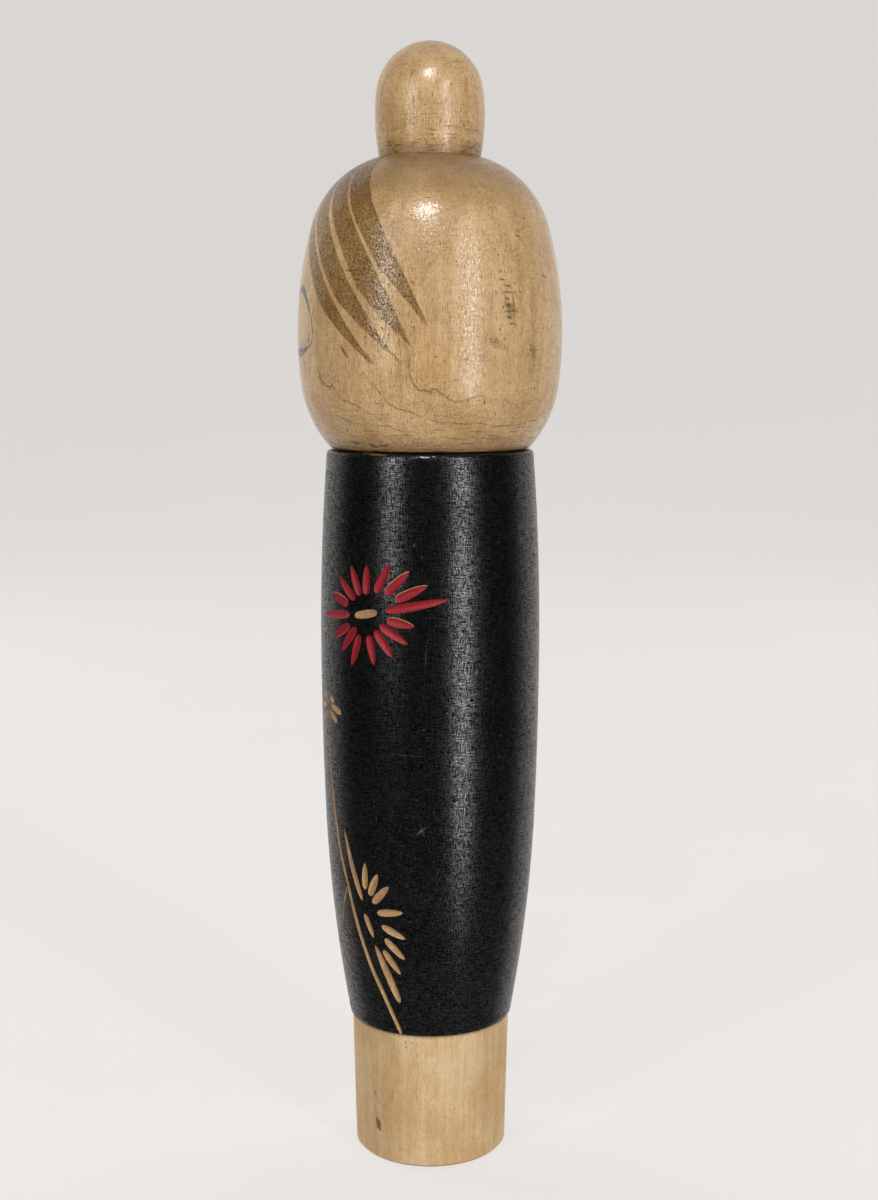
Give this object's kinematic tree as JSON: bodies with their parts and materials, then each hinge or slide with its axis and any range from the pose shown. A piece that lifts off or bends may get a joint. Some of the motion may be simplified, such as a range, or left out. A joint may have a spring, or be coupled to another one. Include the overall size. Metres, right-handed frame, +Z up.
{
  "type": "kokeshi doll",
  "caption": "Tall turned wooden kokeshi doll with a bare foot, a black carved barrel body, a painted round head that turns on its dowel, and a topknot.",
  "frame": {"origin": "centre of the foot's flat underside", "axes": "+Z up along the turned axis, the face towards -Y, the doll's left side towards +X"},
  "size_m": [0.071, 0.071, 0.303],
  "materials": {
    "bare_wood": "bare turned wood, matte",
    "black_stained_wood": "black stain under a satin varnish, with gouge cuts down to bare wood, some of them painted red",
    "varnished_wood": "pale wood under an aged satin varnish, with painted hair and face",
    "dowel_wood": "bare dowel, matte"
  },
  "bodies": {
    "standing_body": {"foot": "bare_wood", "foot_dowel": "dowel_wood", "body": "black_stained_wood"},
    "turning_head": {"head": "varnished_wood", "neck_dowel": "dowel_wood", "topknot_dowel": "dowel_wood", "topknot": "varnished_wood"}
  },
  "joints": [
    {"name": "head_turn", "type": "hinge", "parent": "standing_body", "child": "turning_head", "pos_m": [0, 0, 0.1962], "axis": [0, 0, 1], "continuous": true}
  ]
}
